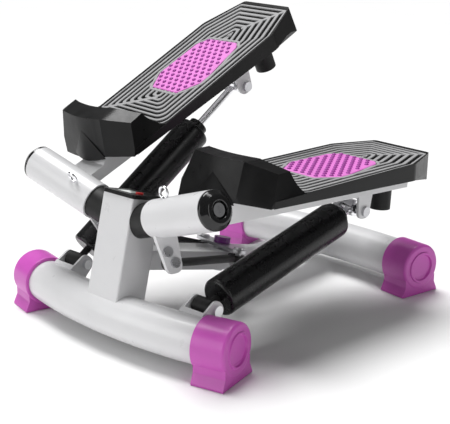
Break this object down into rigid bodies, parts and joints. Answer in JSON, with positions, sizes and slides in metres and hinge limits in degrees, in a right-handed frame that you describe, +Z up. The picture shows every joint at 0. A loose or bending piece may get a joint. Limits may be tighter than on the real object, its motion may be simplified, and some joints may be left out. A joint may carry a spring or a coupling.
{
  "type": "mini twist stepper",
  "caption": "Compact stair stepper with two hinged foot pedals, hydraulic dampers, a rocker link, a small display post and a bowed steel base.",
  "frame": {"origin": "on the floor under the centre of the overall box at rest", "axes": "+X to the side of the pedal that is low at rest; +Y to the rear, away from the display post; +Z up"},
  "size_m": [0.3784, 0.4577, 0.3688],
  "materials": {
    "cap_magenta": "satin moulded magenta plastic with softly rounded edges",
    "frame_white": "white powder coat, slightly glossy",
    "tread_grey": "grey ribbed tread",
    "pad_pink": "pink pad with small rounded nubs",
    "shell_black": "black moulded plastic, fine grain",
    "damper_black": "satin black enamel",
    "bright_chrome": "polished",
    "zinc_steel": "zinc plated",
    "zinc_plate": "zinc plated sheet",
    "black_rubber": "moulded rubber",
    "gloss_black": "polished black plastic",
    "bush_nylon": "oiled nylon",
    "clear_lens": "clear window",
    "lcd_grey": "blank grey-green liquid crystal panel",
    "board_green": "solder mask",
    "cell_foil": "plain metal cell with no print",
    "button_red": "moulded red plastic",
    "link_black": "rubber sleeved steel",
    "cap_purple": "moulded purple plastic"
  },
  "bodies": {
    "base": {"axle_end_screws": "bright_chrome", "battery": "cell_foil", "circuit_board": "board_green", "console_housing": "shell_black", "damper_lower_pins": "bright_chrome", "display_lens": "clear_lens", "display_panel": "lcd_grey", "front_cross_tube": "frame_white", "front_left_foot_cap": "cap_magenta", "front_right_foot_cap": "cap_magenta", "left_axle": "zinc_steel", "left_axle_collar": "black_rubber", "left_axle_end_cap": "gloss_black", "left_damper_bracket": "frame_white", "post_tube": "frame_white", "rear_cross_tube": "frame_white", "rear_left_foot_cap": "cap_magenta", "rear_right_foot_cap": "cap_magenta", "right_axle": "zinc_steel", "right_axle_collar": "black_rubber", "right_axle_end_cap": "gloss_black", "right_damper_bracket": "frame_white", "rocker_bolt": "zinc_steel", "rocker_bolt_cap": "cap_purple", "spine_tube": "frame_white", "step_sensor": "shell_black"},
    "right_pedal": {"right_bumper": "black_rubber", "right_lever_plate": "frame_white", "right_massage_pad": "pad_pink", "right_pedal_arm": "frame_white", "right_pedal_bolts": "zinc_steel", "right_pedal_shell": "shell_black", "right_pivot_bushes": "bush_nylon", "right_pivot_tube": "frame_white", "right_strap_eyelet": "bright_chrome", "right_tread_mat": "tread_grey", "right_upper_clevis": "frame_white", "sensor_magnet": "zinc_steel"},
    "left_pedal": {"left_bumper": "black_rubber", "left_lever_plate": "frame_white", "left_massage_pad": "pad_pink", "left_pedal_arm": "frame_white", "left_pedal_bolts": "zinc_steel", "left_pedal_shell": "shell_black", "left_pivot_bushes": "bush_nylon", "left_pivot_tube": "frame_white", "left_strap_eyelet": "bright_chrome", "left_tread_mat": "tread_grey", "left_upper_clevis": "frame_white"},
    "right_damper_body": {"right_damper_barrel": "damper_black", "right_damper_eye": "black_rubber"},
    "left_damper_body": {"left_damper_barrel": "damper_black", "left_damper_eye": "black_rubber"},
    "right_damper_ram": {"right_damper_rod": "bright_chrome"},
    "left_damper_ram": {"left_damper_rod": "bright_chrome"},
    "rocker": {"rocker_arm": "zinc_plate"},
    "right_link": {"right_link_rod": "link_black"},
    "left_link": {"left_link_rod": "link_black"},
    "button": {"mode_button": "button_red"}
  },
  "joints": [
    {"name": "right_pedal_hinge", "type": "hinge", "parent": "base", "child": "right_pedal", "pos_m": [-0.00169, -0.16948, 0.1398], "axis": [0.9496, -0.0866, 0.3012], "range_deg": [-4, 34]},
    {"name": "left_pedal_hinge", "type": "hinge", "parent": "base", "child": "left_pedal", "pos_m": [-0.00169, -0.16948, 0.1398], "axis": [0.9496, 0.0866, -0.3012], "range_deg": [-34, 4]},
    {"name": "right_damper_tilt", "type": "hinge", "parent": "base", "child": "right_damper_body", "pos_m": [0.11221, -0.16028, 0.0636], "axis": [0.9496, -0.0866, 0.3012], "range_deg": [-4, 31]},
    {"name": "right_damper_stroke", "type": "slide", "parent": "right_damper_body", "child": "right_damper_ram", "axis": [0.0152, 0.9729, 0.2308], "range_m": [-0.0075, 0.062]},
    {"name": "left_damper_tilt", "type": "hinge", "parent": "base", "child": "left_damper_body", "pos_m": [-0.11558, -0.16028, 0.0636], "axis": [0.9496, 0.0866, -0.3012], "range_deg": [-31, 4]},
    {"name": "left_damper_stroke", "type": "slide", "parent": "left_damper_body", "child": "left_damper_ram", "axis": [0.1273, 0.772, 0.6227], "range_m": [-0.0625, 0.0075]},
    {"name": "rocker_turn", "type": "hinge", "parent": "base", "child": "rocker", "pos_m": [-0.00169, -0.01708, 0.0728], "axis": [0, 0.2445, 0.9697], "range_deg": [-5, 35.5]},
    {"name": "right_link_turn", "type": "hinge", "parent": "right_pedal", "child": "right_link", "pos_m": [0.06565, -0.17017, 0.1066], "axis": [0.9496, -0.0866, 0.3012], "range_deg": [-42, 5.5]},
    {"name": "left_link_turn", "type": "hinge", "parent": "left_pedal", "child": "left_link", "pos_m": [-0.06841, -0.1448, 0.11582], "axis": [0.9496, 0.0866, -0.3012], "range_deg": [-5.5, 42]},
    {"name": "mode_button_press", "type": "slide", "parent": "base", "child": "button", "axis": [0, -0.2487, -0.9686], "range_m": [0, 0.001]}
  ],
  "couplings": [
    {"joint": "left_pedal_hinge", "follows": "right_pedal_hinge", "ratio": -1},
    {"joint": "right_damper_tilt", "follows": "right_pedal_hinge", "ratio": 0.8944},
    {"joint": "right_damper_stroke", "follows": "right_pedal_hinge", "m_per_rad": 0.10213},
    {"joint": "left_damper_tilt", "follows": "right_pedal_hinge", "ratio": -0.8919},
    {"joint": "left_damper_stroke", "follows": "right_pedal_hinge", "m_per_rad": -0.10348},
    {"joint": "rocker_turn", "follows": "right_pedal_hinge", "ratio": 0.9963},
    {"joint": "right_link_turn", "follows": "right_pedal_hinge", "ratio": -1.2106},
    {"joint": "left_link_turn", "follows": "right_pedal_hinge", "ratio": 1.2072}
  ]
}
